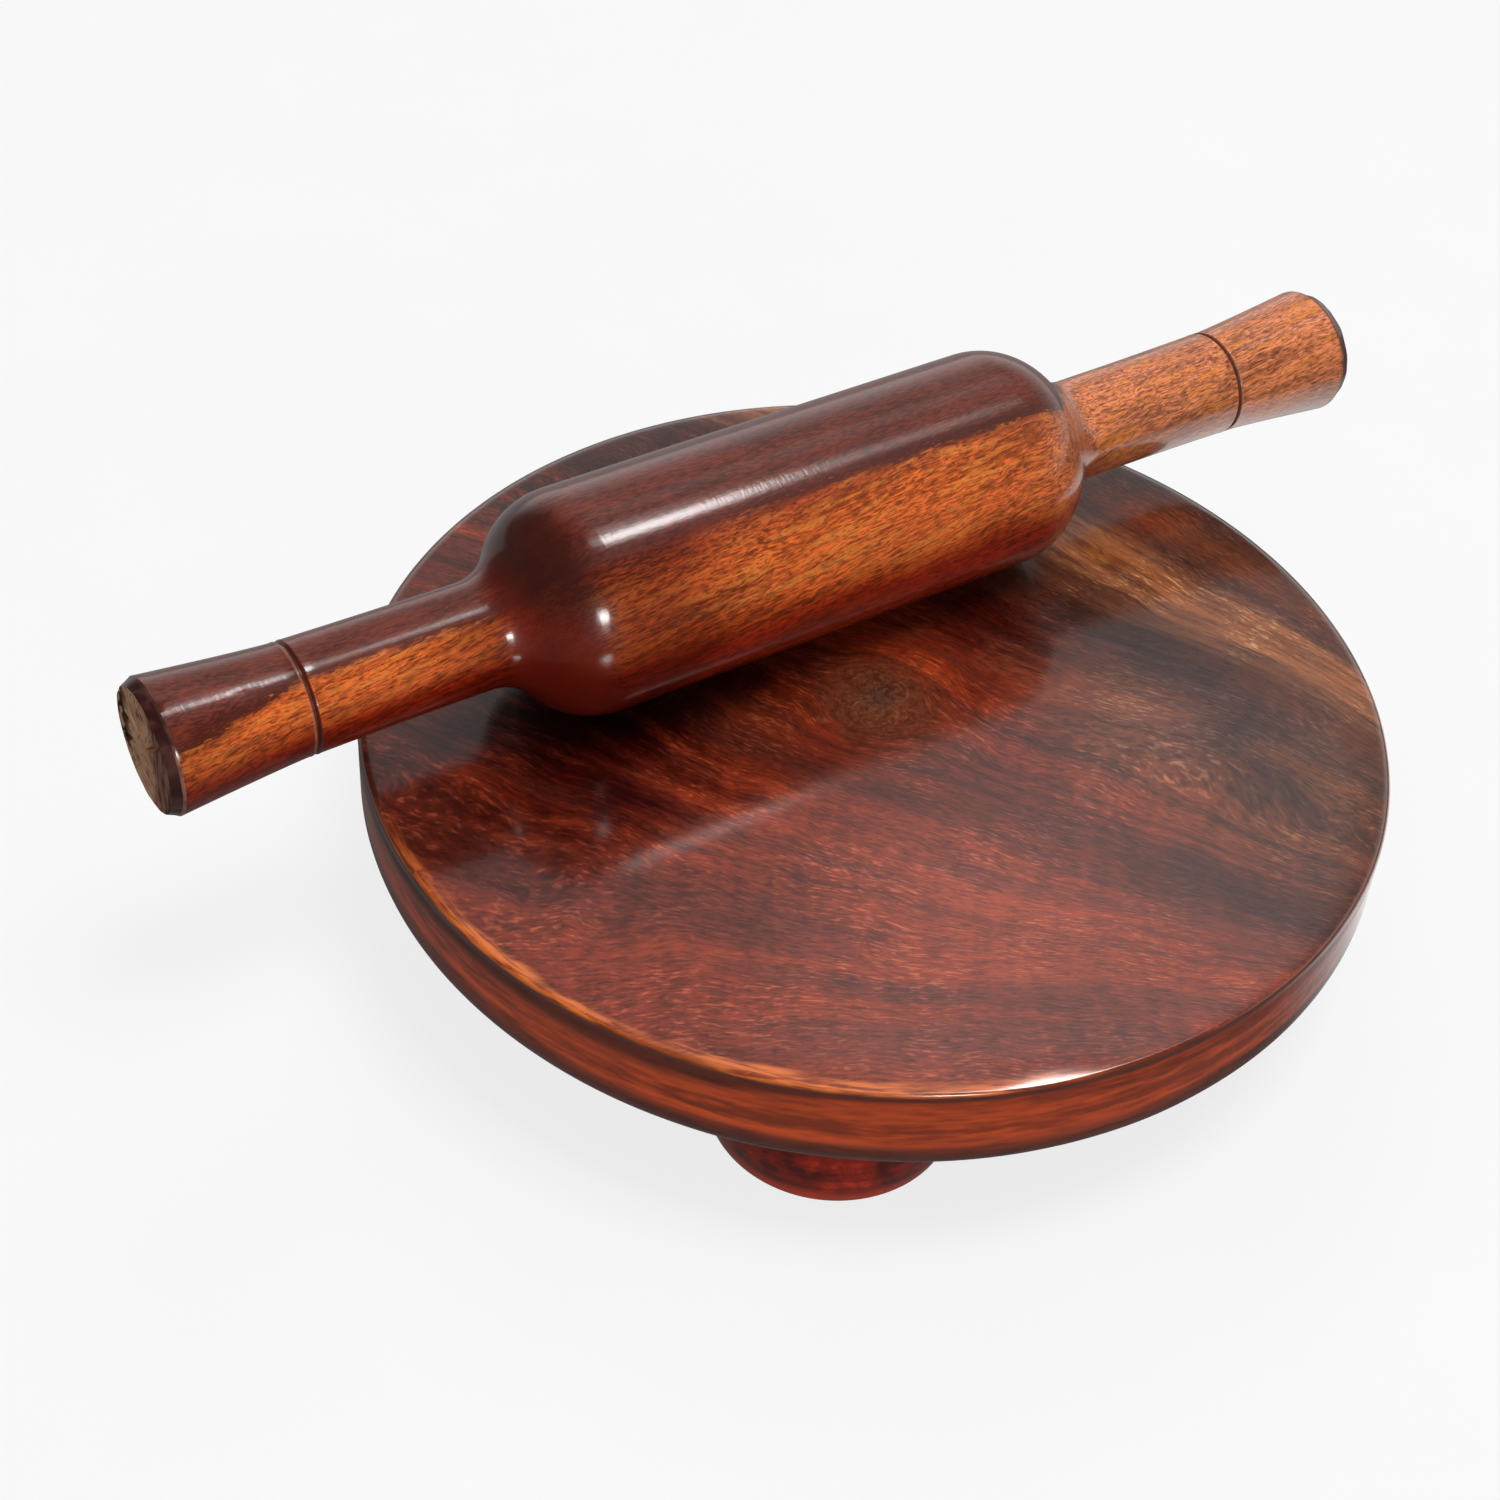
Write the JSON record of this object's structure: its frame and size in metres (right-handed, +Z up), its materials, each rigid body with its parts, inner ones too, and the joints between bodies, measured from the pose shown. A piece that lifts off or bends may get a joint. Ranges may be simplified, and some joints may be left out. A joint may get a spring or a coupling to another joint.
{
  "type": "rolling board",
  "caption": "Round lacquered wooden rolling board on short turned feet, with a turned rolling pin that rests across it and lifts off.",
  "frame": {"origin": "on the table, at the middle of the base of the set's box: under the rolling pin's middle along X and under the board's middle across Y", "axes": "+X along the rolling pin, towards the end that lies to the right in the picture; +Y across the board, from its front towards its back; +Z up"},
  "size_m": [0.319, 0.24, 0.1053],
  "materials": {
    "board_wood": "gloss",
    "foot_wood": "gloss",
    "pin_wood": "gloss",
    "screw_steel": "satin"
  },
  "bodies": {
    "board": {"rolling_board": "board_wood", "foot_front": "foot_wood", "foot_left": "foot_wood", "foot_right": "foot_wood", "foot_screw_front": "screw_steel", "foot_screw_left": "screw_steel", "foot_screw_right": "screw_steel"},
    "pin": {"rolling_pin": "pin_wood"}
  },
  "joints": [
    {"name": "pin_lift", "type": "slide", "parent": "board", "child": "pin", "axis": [0, 0, 1], "range_m": [0, 0.15]}
  ]
}
